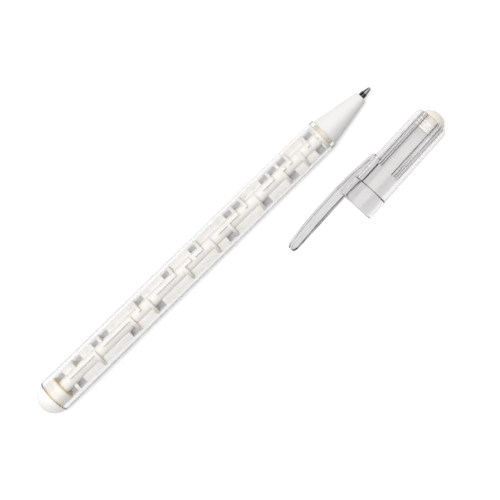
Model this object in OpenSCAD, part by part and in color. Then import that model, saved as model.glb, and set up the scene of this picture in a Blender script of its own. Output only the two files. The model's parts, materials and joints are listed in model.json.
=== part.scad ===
// Maze pen: a clear barrel round a moulded maze, a ballpoint refill through its hub,
// and a clear clip cap that lies beside the pen. Sizes are in millimetres.
// The pen lies along X with its point towards +X, and rests on z = 0.

/* [Barrel] */
// Outer diameter at the rear end
barrel_rear_d = 12; // [11:0.1:14]
// Outer diameter of the straight seat at the front end
barrel_front_d = 11; // [10.6:0.1:11.6]
// Length of the straight seat that the cap slides on
seat_len = 7.5; // [5:0.1:12]
// Bore round the maze
barrel_bore_d = 9.3; // [8.8:0.1:9.8]
// Length of the inner lip at the front end
lip_len = 1.45; // [1:0.05:3]
// Hole through the front lip
lip_bore_d = 7.7; // [6.5:0.1:8.4]
// Bevel on the edges of the rear and front mouths
mouth_bevel = 0.2; // [0.1:0.05:0.3]

/* [Maze core] */
// Number of cells along the maze
cells = 29; // [29:1:40]
// Length of one cell
cell_pitch = 4; // [3.8:0.1:5]
// Outer diameter of the hub tube
hub_d = 4.4; // [4.2:0.1:4.8]
// Thickness of the four fins
fin_t = 0.9; // [0.6:0.05:1.2]
// Thickness of the cross walls
wall_t = 1.1; // [0.7:0.05:1.3]
// Thickness of the front disc
disc_t = 1.1; // [0.8:0.1:2]
// Roll of the core, which leans the top fin to +Y
core_roll = 15; // [0:1:45]
// Number of gate notches in the top fin
gates = 3; // [1:1:3]
// Length of a gate notch
gate_len = 1.5; // [1:0.1:1.8]
// Distance of the first gate notch from the front disc
gate_first = 13.5; // [12.5:0.1:14.5]
// Spacing of the gate notches
gate_pitch = 42.3; // [40:0.1:44]
// Diameter of the ejector marks on the side fins
mark_d = 1.4; // [1:0.1:1.8]
// Depth of the ejector marks
mark_deep = 0.1; // [0.05:0.05:0.2]

/* [End plug] */
// Diameter of the dome where it meets the barrel
dome_d = 11.2; // [10:0.1:12]
// Height of the dome
dome_h = 5.5; // [4:0.1:5.6]
// How far the spigot reaches into the barrel
spigot_len = 4.65; // [3.5:0.05:8]
// Depth of the socket for the hub in the spigot
hub_socket = 3.1; // [2:0.1:3.4]
// Number of gripping ridges round the spigot
ridges = 4; // [2:1:5]
// Spacing of the gripping ridges
ridge_pitch = 0.65; // [0.5:0.05:0.8]
// Height of the gripping ridges
ridge_h = 0.12; // [0.08:0.02:0.2]

/* [Nose and refill] */
// Length of the nose cone
nose_len = 16.6; // [14:0.1:20]
// Diameter of the nose cone at the barrel
nose_base_d = 10.1; // [9:0.1:10.6]
// Diameter of the nose cone at the point
nose_end_d = 4.2; // [3.6:0.1:5]
// Bevel round the nose's small end
nose_bevel = 0.3; // [0.1:0.05:0.5]
// Length of the point's hole in the nose
point_hold = 6.8; // [5:0.1:9]
// Outer diameter of the refill tube
refill_d = 3; // [2.6:0.1:3.2]
// Wall of the refill tube
refill_wall = 0.5; // [0.4:0.05:0.6]
// Length of the refill tube
refill_len = 106; // [90:1:110]
// Length of the ink in the refill tube
ink_len = 84; // [40:1:85]
// Diameter of the metal point
point_d = 2.3; // [2:0.05:2.35]
// How far the point stands out of the nose
point_out = 4.2; // [3.6:0.1:5]
// Length of the point's tapered end
taper_len = 2.6; // [2:0.1:3]
// Length of the point's shank inside the refill tube
shank_len = 4; // [3:0.1:6]
// Ink hole along the point
feed_d = 0.6; // [0.4:0.05:0.7]
// Diameter of the writing ball
writing_ball_d = 1; // [0.8:0.05:1.2]
// Wall of the point's rim round the writing ball
rim_wall = 0.09; // [0.06:0.01:0.12]

/* [Cap] */
// Length of the cap without its stopper's dome
cap_len = 37.2; // [35:0.1:45]
// Outer diameter at the mouth
cap_mouth_d = 13; // [12.6:0.1:14]
// Outer diameter at the closed end
cap_end_d = 12; // [11.4:0.1:12.4]
// Depth of the mouth's socket
socket_len = 7.2; // [4:0.1:7.4]
// Diameter of the hollow behind the socket
hollow_d = 9.8; // [9.4:0.1:10]
// Thickness of the closed end
end_wall = 1.6; // [1.2:0.1:2.4]
// Round on the edge of the closed end
end_round = 1.3; // [0.8:0.1:1.5]
// Number of inner ribs
ribs = 5; // [3:1:6]
// Thickness of the inner ribs
rib_t = 0.7; // [0.5:0.05:1]
// Distance from the mouth to the start of the inner ribs
rib_start = 14.9; // [12:0.1:18]
// Angle of the first rib round the cap, from the clip
rib_turn = 77; // [0:1:90]
// Wall of the boss round the stopper's stem
boss_wall = 0.8; // [0.6:0.05:1]
// Length of the stopper's stem
stem_len = 4.8; // [4:0.1:6]
// Diameter of the stopper's stem
stem_d = 5.2; // [4.8:0.1:5.6]
// Number of grooves round the stopper's stem
stem_grooves = 3; // [1:1:4]
// Depth of the stem's grooves
groove_deep = 0.12; // [0.06:0.02:0.2]
// Diameter of the stopper's dome
button_d = 8.7; // [7.6:0.1:9]
// Height of the stopper's dome
button_h = 2.8; // [2:0.1:3.4]

/* [Clip] */
// How far the clip reaches past the cap's mouth
clip_free = 24.4; // [22:0.1:30]
// How far the clip's root runs along the cap
clip_root = 16.8; // [12:0.1:19]
// Widest width of the clip
clip_w = 6; // [5:0.1:6.6]
// Width of the clip's outer face
clip_top_w = 3.4; // [2.4:0.1:3.6]
// Width of the clip at its tip
clip_tip_w = 4.4; // [3.6:0.1:4.8]
// Greatest thickness of the clip, at the crest of its arch
clip_t = 3.9; // [3.2:0.1:4.2]
// Distance from the mouth to the crest of the clip's arch
clip_crest = 5.5; // [3:0.1:6]
// Thickness of the clip where its arch ends at the tip
clip_tip_t = 2.4; // [2.2:0.1:2.8]
// Gap between the clip and the barrel when the cap is on
clip_gap = 0.35; // [0.2:0.05:0.6]
// Angle of the clip below level as the cap lies
clip_drop = 30; // [22:1:31]

/* [Layout] */
// Distance of the cap's mouth beside the pen's axis
cap_beside = 23.8; // [22:0.1:40]
// Distance of the cap's mouth behind the barrel's front end
cap_back = 9.2; // [0:0.1:20]
// Turn of the cap away from the pen's direction
cap_turn = 3.35; // [0:0.05:8]

/* [Fits] */
// Radial clearance of the core in the barrel
core_clear = 0.1; // [0.05:0.01:0.2]
// Radial clearance of pressed and seated pieces
seat_clear = 0.03; // [0.02:0.01:0.05]
// Radial clearance of the refill in the hub and nose
refill_clear = 0.1; // [0.05:0.01:0.15]
// Radial clearance of the cap on the barrel
cap_clear = 0.04; // [0.02:0.01:0.05]
// Radial clearance of the writing ball in its seat
ball_clear = 0.02; // [0.01:0.01:0.03]
// Room round the maze ball in its lane
lane_room = 0.45; // [0.3:0.05:0.6]
// Distance of the resting maze ball from the fin and the bore
rest_gap = 0.06; // [0.04:0.01:0.1]
// Clearance of the cap's ribs round the nose cone
rib_clear = 0.06; // [0.04:0.01:0.12]

/* [Hidden] */
$fn = 96;
// Overlap that keeps joined shapes from meeting face to face
eps = 0.01;

// Maze plan. Cells count from the front disc, and fins and lanes go round from the top fin towards -Y.
// Cells where each fin is open: top, right, bottom and left fin
fin_gaps = [
    [0, 1, 2, 4, 6, 7, 8, 11, 12, 15, 18, 19, 20, 24, 27, 28],
    [0, 3, 6, 10, 18, 21, 27, 28],
    [3, 7, 10, 14, 20, 25],
    [0, 3, 4, 5, 8, 9, 13, 16, 19, 23, 24, 26, 28]
];
// Cells that start with a cross wall in each lane, where lane n lies between fin n and the next fin
lane_walls = [
    [2, 4, 7, 10, 12, 15, 19, 21, 25],
    [2, 5, 8, 16, 19, 22, 24],
    [2, 6, 8, 12, 14, 17, 21, 24, 27],
    [1, 3, 5, 8, 9, 13, 16, 20, 24, 27]
];
// Cells with an ejector mark on the right and the left fin
right_marks = [4, 5, 7, 12, 15, 17, 19, 20, 22];
left_marks = [6, 7, 10, 18, 20, 22, 25];
// Lane and walls that hold the maze ball
ball_lane = 2;
ball_run = [8, 12];

// Places along the pen, from the tip of the dome. The last cell has no wall, because it ends at the plug.
seam_z = dome_h;
spigot_z = seam_z + spigot_len;
disc_z = spigot_z + cells * cell_pitch - wall_t / 2;
gap_len = cell_pitch - wall_t;
lip_z = disc_z + disc_t;
front_z = lip_z + lip_len;
nose_end_z = front_z + nose_len;
point_z = nose_end_z + point_out;
refill_front_z = nose_end_z - point_hold;
refill_rear_z = refill_front_z - refill_len;
shank_z = refill_front_z - shank_len;
taper_z = point_z - taper_len;

// Radii of the pen's pieces
bore_r = barrel_bore_d / 2;
core_r = bore_r - core_clear;
hub_r = hub_d / 2;
hub_bore_r = refill_d / 2 + refill_clear;
point_hole_r = point_d / 2 + seat_clear;
refill_bore_r = refill_d / 2 - refill_wall;
spigot_r = bore_r - seat_clear - ridge_h;
dome_r = (pow(dome_d / 2, 2) + pow(dome_h, 2)) / (2 * dome_h);

// Maze ball: it lies on the bore's floor against the bottom fin
ball_r = (bore_r - hub_r - lane_room) / 2;
ball_off = bore_r - ball_r - rest_gap;
ball_turn = asin((ball_r + fin_t / 2 + rest_gap) / ball_off);
ball_z = disc_z - (ball_run[0] + ball_run[1]) / 2 * cell_pitch;

// Writing ball and the seat that holds it
write_r = writing_ball_d / 2;
write_z = point_z - write_r;
rim_ahead = write_r * 0.4;
rim_r = sqrt(pow(write_r + ball_clear, 2) - pow(rim_ahead, 2)) + rim_wall;

// Cap: the socket seats on the barrel, and the ribs follow the nose cone
cap_mouth_r = cap_mouth_d / 2;
cap_end_r = cap_end_d / 2;
socket_r = barrel_front_d / 2 + cap_clear;
hollow_r = hollow_d / 2;
hollow_z = cap_len - end_wall;
nose_slope = (nose_base_d - nose_end_d) / 2 / nose_len;
rib_r = nose_base_d / 2 - nose_slope * (rib_start - socket_len) + rib_clear;
stem_z = cap_len - stem_len;
stem_hole_r = stem_d / 2 + seat_clear;
boss_r = stem_hole_r + boss_wall;
button_r = (pow(button_d / 2, 2) + pow(button_h, 2)) / (2 * button_h);

// Clip: an arched bar whose inner face clears the barrel
clip_tip_z = -clip_free;
barrel_slope = (barrel_rear_d - barrel_front_d) / 2 / (front_z - seam_z - seat_len);
clip_in = barrel_front_d / 2 + barrel_slope * (clip_free + socket_len - seat_len) + clip_gap;
clip_arch_sag = clip_t - clip_tip_t;
clip_arch_r = (pow(clip_free - clip_crest, 2) + pow(clip_arch_sag, 2)) / (2 * clip_arch_sag);
clip_corner = 1.2;
clip_root_z = clip_root - clip_corner;
clip_root_t = clip_t - clip_arch_r + sqrt(pow(clip_arch_r, 2) - pow(clip_root_z + clip_crest, 2));

// The pen lies on its barrel and the cap on its wall, so both axes dip a little towards +X
pen_dip = atan((barrel_rear_d - barrel_front_d) / 2 / (front_z - seam_z));
cap_dip = atan((cap_mouth_r - cap_end_r) / cap_len);
pen_height = barrel_rear_d / 2 * cos(pen_dip) + seam_z * sin(pen_dip);
cap_height = cap_mouth_r * cos(cap_dip);
cap_x = (front_z - cap_back) * cos(pen_dip);
span_x = cap_x + (cap_len + button_h) * cos(cap_dip) * cos(cap_turn);
span_y = barrel_rear_d / 2 + cap_beside + cap_mouth_r * cos(cap_turn);
pen_at = [-span_x / 2, span_y / 2 - barrel_rear_d / 2, pen_height];
cap_at = [cap_x - span_x / 2, pen_at[1] - cap_beside, cap_height];

// Places children that stand on the pen's axis, with -X up and +Y kept
module along_pen() {
    translate(pen_at) rotate([0, 90 + pen_dip, 0]) children();
}

// Places children that stand on the cap's axis, from its mouth
module along_cap() {
    translate(cap_at) rotate([0, 90 + cap_dip, cap_turn]) children();
}

// Turns children that point along +X to a fin of the core
module to_fin(i) {
    rotate(180 - core_roll + 90 * i) children();
}

// A dome with its base at z = 0 and its top at z = h
module dome(sphere_r, base_r, h) {
    intersection() {
        translate([0, 0, h - sphere_r]) sphere(sphere_r);
        cylinder(r = base_r + eps, h = h + eps);
    }
}

module barrel_tube() {
    rear_r = barrel_rear_d / 2;
    front_r = barrel_front_d / 2;
    color("azure", 0.35)
    along_pen()
    rotate_extrude()
    polygon([
        [bore_r + mouth_bevel, seam_z],
        [rear_r - mouth_bevel, seam_z],
        [rear_r, seam_z + mouth_bevel],
        [front_r, front_z - seat_len],
        [front_r, front_z - mouth_bevel],
        [front_r - mouth_bevel, front_z],
        [lip_bore_d / 2, front_z],
        [lip_bore_d / 2, lip_z],
        [bore_r, lip_z],
        [bore_r, seam_z + mouth_bevel]
    ]);
}

// One fin along the core, open at its gaps
module fin(i) {
    to_fin(i)
    difference() {
        translate([0, -fin_t / 2, spigot_z]) cube([bore_r, fin_t, disc_z - spigot_z + eps]);
        for (c = fin_gaps[i]) {
            past_end = c == cells - 1 ? eps : 0;
            translate([hub_r - eps, -fin_t, disc_z - (c + 1) * cell_pitch + wall_t / 2 - past_end])
            cube([bore_r, 2 * fin_t, gap_len + past_end]);
        }
    }
}

// Narrow notches through the top fin, where the moulding was filled
module gate_notches() {
    to_fin(0)
    for (i = [0 : gates - 1])
        translate([hub_r, -fin_t, disc_z - gate_first - i * gate_pitch - gate_len / 2])
        cube([bore_r, 2 * fin_t, gate_len]);
}

// The cross walls of one lane
module walls(i) {
    to_fin(i)
    for (c = lane_walls[i])
        translate([0, 0, disc_z - c * cell_pitch - wall_t / 2]) cube([bore_r, bore_r, wall_t]);
}

// Round ejector marks on the upper face of a side fin, which lies on the given side of it
module marks(i, marked, side) {
    to_fin(i)
    for (c = marked)
        translate([(hub_r + core_r) / 2, side * (fin_t / 2 - mark_deep), disc_z - (c + 0.5) * cell_pitch])
        rotate([-side * 90, 0, 0]) cylinder(d = mark_d, h = 2 * mark_deep);
}

module maze_core() {
    hub_rear_z = spigot_z - hub_socket + seat_clear;
    color("ivory")
    along_pen()
    difference() {
        union() {
            translate([0, 0, hub_rear_z]) cylinder(r = hub_r, h = lip_z - hub_rear_z);
            translate([0, 0, disc_z]) cylinder(r = core_r, h = disc_t);
            intersection() {
                translate([0, 0, spigot_z]) cylinder(r = core_r, h = disc_z - spigot_z + eps);
                union() {
                    for (i = [0 : 3]) {
                        difference() {
                            fin(i);
                            if (i == 0) gate_notches();
                        }
                        walls(i);
                    }
                }
            }
        }
        translate([0, 0, hub_rear_z - eps]) cylinder(r = hub_bore_r, h = lip_z - hub_rear_z + 2 * eps);
        marks(1, right_marks, -1);
        marks(3, left_marks, 1);
    }
}

module end_plug() {
    ridge_z = seam_z + ridge_pitch;
    color("white")
    along_pen()
    difference() {
        union() {
            translate([0, 0, seam_z]) mirror([0, 0, 1]) dome(dome_r, dome_d / 2, dome_h);
            translate([0, 0, seam_z - eps]) cylinder(r = spigot_r, h = spigot_len + eps);
            for (i = [0 : ridges - 1])
                translate([0, 0, ridge_z + i * ridge_pitch])
                rotate_extrude()
                polygon([
                    [spigot_r - ridge_h, -ridge_pitch / 4],
                    [spigot_r, -ridge_pitch / 4],
                    [spigot_r + ridge_h, 0],
                    [spigot_r, ridge_pitch / 4],
                    [spigot_r - ridge_h, ridge_pitch / 4]
                ]);
        }
        translate([0, 0, spigot_z - hub_socket]) cylinder(r = hub_r + seat_clear, h = hub_socket + eps);
    }
}

module nose_cone() {
    base_r = nose_base_d / 2;
    end_r = nose_end_d / 2;
    neck_r = lip_bore_d / 2 - seat_clear;
    color("whitesmoke")
    along_pen()
    rotate_extrude()
    polygon([
        [hub_bore_r, lip_z],
        [neck_r, lip_z],
        [neck_r, front_z],
        [base_r - mouth_bevel, front_z],
        [base_r, front_z + mouth_bevel],
        [end_r, nose_end_z - nose_bevel],
        [end_r - nose_bevel, nose_end_z],
        [point_hole_r, nose_end_z],
        [point_hole_r, refill_front_z],
        [hub_bore_r, refill_front_z]
    ]);
}

module refill_tube() {
    color("gainsboro")
    along_pen()
    translate([0, 0, refill_rear_z])
    difference() {
        cylinder(d = refill_d, h = refill_len);
        translate([0, 0, -eps]) cylinder(r = refill_bore_r, h = refill_len + 2 * eps);
    }
}

module ink_column() {
    color("midnightblue")
    along_pen()
    translate([0, 0, shank_z - ink_len]) cylinder(r = refill_bore_r - seat_clear, h = ink_len);
}

module point_body() {
    point_r = point_d / 2;
    shank_r = refill_bore_r - seat_clear;
    color("silver")
    along_pen()
    difference() {
        rotate_extrude()
        polygon([
            [feed_d / 2, shank_z],
            [shank_r, shank_z],
            [shank_r, refill_front_z],
            [point_r, refill_front_z],
            [point_r, taper_z],
            [rim_r, write_z + rim_ahead],
            [feed_d / 2, write_z + rim_ahead]
        ]);
        translate([0, 0, write_z]) sphere(write_r + ball_clear);
    }
}

module writing_ball() {
    color("dimgray") along_pen() translate([0, 0, write_z]) sphere(write_r);
}

module maze_ball() {
    color("silver")
    along_pen()
    to_fin(ball_lane)
    rotate(ball_turn)
    translate([ball_off, 0, ball_z])
    sphere(ball_r);
}

// The clip seen from its side: distance from the cap's axis against place along it
module clip_side() {
    intersection() {
        translate([clip_in + clip_t - clip_arch_r, -clip_crest]) circle(clip_arch_r, $fn = 360);
        union() {
            translate([clip_in, clip_tip_z]) square([clip_t, clip_free + clip_root_z]);
            translate([clip_in, 0]) square([clip_root_t - clip_corner, clip_root]);
            translate([clip_in + clip_root_t - clip_corner, clip_root_z]) circle(clip_corner);
        }
    }
}

// The clip seen from outside: its width along the cap, with a round tip
module clip_plan() {
    tip_r = clip_tip_w / 2;
    polygon([
        [-clip_w / 2, clip_root],
        [-clip_w / 2, 0],
        [-tip_r, clip_tip_z + tip_r],
        [tip_r, clip_tip_z + tip_r],
        [clip_w / 2, 0],
        [clip_w / 2, clip_root]
    ]);
    translate([0, clip_tip_z + tip_r]) circle(tip_r);
}

// The clip's section: widest near the barrel, narrow on the outer face
module clip_section() {
    waist = clip_in + clip_t / 3;
    polygon([
        [clip_in, -clip_w / 2 + clip_t / 8],
        [waist, -clip_w / 2],
        [clip_in + clip_t, -clip_top_w / 2],
        [clip_in + clip_t, clip_top_w / 2],
        [waist, clip_w / 2],
        [clip_in, clip_w / 2 - clip_t / 8]
    ]);
}

module clip() {
    long = clip_free + clip_root + 2 * eps;
    intersection() {
        translate([0, clip_w / 2 + eps, 0])
        rotate([90, 0, 0]) linear_extrude(clip_w + 2 * eps) clip_side();
        translate([clip_in - eps, 0, 0])
        rotate([90, 0, 90]) linear_extrude(clip_t + 2 * eps) clip_plan();
        translate([0, 0, clip_tip_z - eps]) linear_extrude(long) clip_section();
    }
}

// The cap's outer form, a slow taper with a rounded closed end
module cap_outside() {
    straight = cap_len - end_round;
    cylinder(r1 = cap_mouth_r, r2 = cap_end_r, h = straight);
    translate([0, 0, straight]) rotate_extrude() translate([cap_end_r - end_round, 0]) circle(end_round);
    translate([0, 0, straight - eps]) cylinder(r = cap_end_r - end_round, h = end_round + eps);
}

// Ribs that guide the nose cone and stand on the wall of the hollow
module cap_ribs() {
    for (i = [0 : ribs - 1])
        rotate(90 - clip_drop + rib_turn + 360 / ribs * i)
        translate([rib_r, -rib_t / 2, rib_start])
        cube([hollow_r - rib_r + eps, rib_t, hollow_z - rib_start + eps]);
}

module cap_shell() {
    color("azure", 0.35)
    along_cap()
    difference() {
        union() {
            difference() {
                union() {
                    cap_outside();
                    rotate(90 - clip_drop) clip();
                }
                translate([0, 0, -eps]) cylinder(r = socket_r, h = socket_len + eps);
                cylinder(r = hollow_r, h = hollow_z);
            }
            cap_ribs();
            translate([0, 0, stem_z]) cylinder(r = boss_r, h = hollow_z - stem_z + eps);
        }
        translate([0, 0, stem_z - eps]) cylinder(r = stem_hole_r, h = stem_len + 2 * eps);
    }
}

module cap_plug() {
    groove_pitch = (stem_len - end_wall) / (stem_grooves + 1);
    color("cornsilk")
    along_cap()
    difference() {
        union() {
            translate([0, 0, stem_z]) cylinder(d = stem_d, h = stem_len + eps);
            translate([0, 0, cap_len]) dome(button_r, button_d / 2, button_h);
        }
        for (i = [1 : stem_grooves])
            translate([0, 0, stem_z + i * groove_pitch])
            rotate_extrude()
            polygon([
                [stem_d / 2 - groove_deep, 0],
                [stem_d / 2 + groove_deep, -groove_pitch / 3],
                [stem_d / 2 + groove_deep, groove_pitch / 3]
            ]);
    }
}

barrel_tube();
maze_core();
end_plug();
nose_cone();
refill_tube();
ink_column();
point_body();
writing_ball();
maze_ball();
cap_shell();
cap_plug();
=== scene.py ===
"""Maze pen with a clear barrel round a moulded maze, and a clear clip cap that lies beside it."""

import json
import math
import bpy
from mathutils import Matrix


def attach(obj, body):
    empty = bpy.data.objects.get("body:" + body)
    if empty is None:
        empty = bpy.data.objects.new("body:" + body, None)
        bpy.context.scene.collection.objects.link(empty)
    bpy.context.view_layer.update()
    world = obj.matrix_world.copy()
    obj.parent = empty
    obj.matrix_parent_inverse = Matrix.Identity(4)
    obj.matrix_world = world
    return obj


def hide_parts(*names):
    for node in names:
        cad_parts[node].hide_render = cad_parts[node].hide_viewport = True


bl_info = {
    "name": "Maze pen",
    "version": (1, 0, 0),
    "blender": (4, 5, 0),
    "location": "3D View > Sidebar > Maze pen",
    "description": "Models and finishes the pieces of a maze pen and sets up its studio",
    "category": "Add Mesh",
}

from types import SimpleNamespace

import bmesh
import bpy
from bpy.props import FloatProperty, FloatVectorProperty, IntProperty, PointerProperty
from bpy.types import Operator, Panel, PropertyGroup
from mathutils import Matrix, Vector

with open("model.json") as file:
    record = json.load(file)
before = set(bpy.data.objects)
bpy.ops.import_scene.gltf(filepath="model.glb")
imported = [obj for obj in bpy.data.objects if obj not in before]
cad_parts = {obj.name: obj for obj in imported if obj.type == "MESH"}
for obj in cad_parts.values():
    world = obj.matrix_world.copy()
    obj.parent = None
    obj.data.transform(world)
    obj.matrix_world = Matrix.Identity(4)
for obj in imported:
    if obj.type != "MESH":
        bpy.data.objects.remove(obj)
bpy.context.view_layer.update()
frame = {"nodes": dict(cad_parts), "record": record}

MM = 0.001
# Points closer than this are one point
WELD = 0.002 * MM
QUARTER = math.pi / 2
# Steps of a full turn, of a rounded corner, of a dome's or bowl's curve, of a round mark and of the ring
# of cards
TURN_STEPS = 160
CORNER_STEPS = 6
CURVE_STEPS = 24
MARK_STEPS = 32
CARD_STEPS = 64
# Faces that meet at less than this angle are shaded as one
SMOOTH_ANGLE = math.radians(32)
# Faces whose normals lie along X by more than this share are the maze's sides, which get painted warm
# shade
SIDE_FACING = 0.7
# Outline of a gripping ridge: place in quarters of the spacing, and share of the height
RIDGE = ((-1, 0), (-0.3, 1), (0.3, 1), (1, 0))
# Depth of the grain, and how dark the clear plastic's patches are beside the rest
GRAIN_DEPTH = 0.02 * MM
CLEAR_PATCH = 0.985
# How edge-on the round outsides of the clear pieces begin to dim, and are dimmed in full
BARREL_RIM = (0.1, 0.9)
CAP_RIM = (0.5, 0.8)
# How much of the plug's own colour the painted shade at its seam hides
SEAM_SHADE = 0.7
# Width of the floor, nearest distance that the camera sees, and spacing of the nodes in their editor
FLOOR_WIDE = 8000 * MM
CAMERA_NEAR = 10 * MM
NODE_STEP = 180

# Maze plan. Cells count from the front disc, and fins and lanes go round from the top fin.
# Cells where the top, right, bottom and left fin are open
FIN_GAPS = (
    (0, 1, 2, 4, 6, 7, 8, 11, 12, 15, 18, 19, 20, 24, 27, 28),
    (0, 3, 6, 10, 18, 21, 27, 28),
    (3, 7, 10, 14, 20, 25),
    (0, 3, 4, 5, 8, 9, 13, 16, 19, 23, 24, 26, 28),
)
# Cells that start with a cross wall, in the lane between each fin and the next
LANE_WALLS = (
    (2, 4, 7, 10, 12, 15, 19, 21, 25),
    (2, 5, 8, 16, 19, 22, 24),
    (2, 6, 8, 12, 14, 17, 21, 24, 27),
    (1, 3, 5, 8, 9, 13, 16, 20, 24, 27),
)
# Fin, side and cells of the round ejector marks
EJECTOR_MARKS = (
    (1, -1, (4, 5, 7, 12, 15, 17, 19, 20, 22)),
    (3, 1, (6, 7, 10, 18, 20, 22, 25)),
)


def length(name, description, mm):
    """A size that is written in millimetres and kept in metres."""
    return FloatProperty(name=name, description=description, default=mm * MM, min=0.0, precision=5,
                         subtype="DISTANCE", unit="LENGTH")


def angle(name, description, degrees):
    """An angle that is written in degrees."""
    return FloatProperty(name=name, description=description, default=math.radians(degrees),
                         subtype="ANGLE", unit="ROTATION")


def share(name, description, value):
    """A share between none and all."""
    return FloatProperty(name=name, description=description, default=value, min=0.0, max=1.0,
                         subtype="FACTOR")


def colour(name, description, rgb):
    """A colour in linear light."""
    return FloatVectorProperty(name=name, description=description, default=rgb, size=3, min=0.0, max=1.0,
                               subtype="COLOR")


def spot(name, description, mm):
    """A place in the shared frame, written in millimetres."""
    return FloatVectorProperty(name=name, description=description, default=[v * MM for v in mm], size=3,
                               subtype="TRANSLATION", unit="LENGTH")


class BarrelSizes(PropertyGroup):
    """Sizes of the clear barrel."""
    rear_d: length("Rear width", "Outer diameter at the rear end", 12)
    front_d: length("Front width", "Outer diameter of the straight seat at the front end", 11)
    seat: length("Seat", "Length of the straight seat that the cap slides on", 7.5)
    bore_d: length("Bore", "Diameter of the bore round the maze", 9.3)
    lip: length("Lip", "Length of the inner lip at the front end", 1.45)
    lip_d: length("Lip hole", "Diameter of the hole through the lip", 7.7)
    edge: length("Edge", "Round on the edges of the mouths", 0.2)


class MazeSizes(PropertyGroup):
    """Sizes of the moulded maze."""
    cells: IntProperty(name="Cells", description="Number of cells along the maze", default=29, min=29)
    cell: length("Cell", "Length of one cell", 4)
    hub_d: length("Hub", "Outer diameter of the hub tube", 4.4)
    hub_bore_d: length("Hub bore", "Diameter of the hole for the refill", 3.2)
    core_d: length("Core", "Diameter over the fins and walls", 9.1)
    fin: length("Fin", "Thickness of the four fins", 0.9)
    wall: length("Wall", "Thickness of the cross walls", 1.1)
    disc: length("Disc", "Thickness of the front disc", 1.1)
    roll: angle("Roll", "Lean of the top fin to the left", 15)
    gates: IntProperty(name="Gates", description="Number of gate notches in the top fin", default=3, min=0)
    gate: length("Gate", "Length of a gate notch", 1.5)
    gate_first: length("First gate", "Distance of the first gate notch from the disc", 13.5)
    gate_pitch: length("Gate spacing", "Spacing of the gate notches", 42.3)
    mark_d: length("Mark", "Diameter of the ejector marks", 1.4)
    mark_deep: length("Mark depth", "Depth of the ejector marks", 0.1)


class EndSizes(PropertyGroup):
    """Sizes of the end plug, the nose and the metal point."""
    dome_d: length("Dome width", "Diameter of the dome where it meets the barrel", 11.2)
    dome_h: length("Dome height", "Height of the dome", 5.5)
    spigot: length("Spigot", "How far the plug reaches into the barrel", 4.65)
    spigot_d: length("Spigot width", "Diameter of the spigot between its ridges", 9.0)
    socket: length("Hub socket", "Depth of the socket for the hub", 3.1)
    ridge_pitch: length("Ridge spacing", "Spacing of the gripping ridges", 0.65)
    ridge_h: length("Ridge height", "Height of the gripping ridges", 0.12)
    ridges: IntProperty(name="Ridges", description="Number of gripping ridges", default=4, min=1)
    nose: length("Nose", "Length of the nose cone", 16.6)
    nose_base_d: length("Nose base", "Diameter of the nose cone at the barrel", 10.1)
    nose_end_d: length("Nose end", "Diameter of the nose cone at the point", 4.2)
    nose_edge: length("Nose edge", "Round at the nose's small end", 0.3)
    hold: length("Point hole", "Length of the point's hole in the nose", 6.8)
    point_d: length("Point", "Diameter of the metal point", 2.3)
    point_out: length("Point length", "How far the point stands out of the nose", 4.2)
    taper: length("Taper", "Length of the point's tapered end", 2.6)
    shank: length("Shank", "Length of the point's shank in the refill", 4)
    shank_d: length("Shank width", "Diameter of the point's shank in the refill", 1.94)
    feed_d: length("Ink hole", "Diameter of the ink hole along the point", 0.6)
    ball_d: length("Writing ball", "Diameter of the writing ball", 1)
    ball_fit: length("Ball clearance", "Radial clearance of the writing ball in its seat", 0.02)
    rim: length("Rim", "Wall of the rim round the writing ball", 0.09)
    rim_ahead: length("Rim place", "How far ahead of the ball's middle the rim stands", 0.2)
    fit: length("Fit", "Radial clearance of seated pieces", 0.03)


class CapSizes(PropertyGroup):
    """Sizes of the clear cap and its stopper."""
    long: length("Length", "Length of the cap without its stopper's dome", 37.2)
    mouth_d: length("Mouth width", "Outer diameter at the mouth", 13)
    end_d: length("End width", "Outer diameter at the closed end", 12)
    socket: length("Socket", "Depth of the mouth's socket", 7.2)
    socket_d: length("Socket width", "Diameter of the mouth's socket", 11.08)
    hollow_d: length("Hollow", "Diameter of the hollow behind the socket", 9.8)
    end_wall: length("End wall", "Thickness of the closed end", 0.5)
    end_round: length("End round", "Round on the edge of the closed end", 1.3)
    shoulder: length("Shoulder", "Round in the corner at the socket's shoulder", 0.4)
    rim: length("Rim", "Round on the outer edge of the mouth", 0.5)
    edge: length("Edge", "Round on the other edges", 0.2)
    ribs: IntProperty(name="Ribs", description="Number of inner ribs", default=5, min=1)
    rib: length("Rib", "Thickness of the inner ribs", 0.7)
    rib_start: length("Rib start", "Distance from the mouth to the start of the ribs", 14.9)
    rib_in: length("Rib reach", "Distance of the ribs' inner edges from the axis", 3.742)
    rib_sunk: length("Rib foot", "How far the ribs reach into the cap's walls", 0.3)
    rib_turn: angle("Rib turn", "Angle of the first rib round the cap, from the clip", 79)
    stem: length("Stem", "Length of the stopper's stem", 4.8)
    stem_d: length("Stem width", "Diameter of the stopper's stem", 5.2)
    boss_d: length("Boss", "Diameter of the boss round the stem", 6.86)
    button_d: length("Button width", "Diameter of the stopper's dome", 8.7)
    button_h: length("Button height", "Height of the stopper's dome", 2.8)
    grooves: IntProperty(name="Grooves", description="Number of grooves round the stem", default=3, min=1)
    groove_deep: length("Groove depth", "Depth of the stem's grooves", 0.12)
    pale: length("Pale stem", "Distance from the dome's top from which the stem is pale", 4.7)
    full: length("Cream dome", "Distance from the dome's top up to which the stopper is cream", 4.4)


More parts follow.
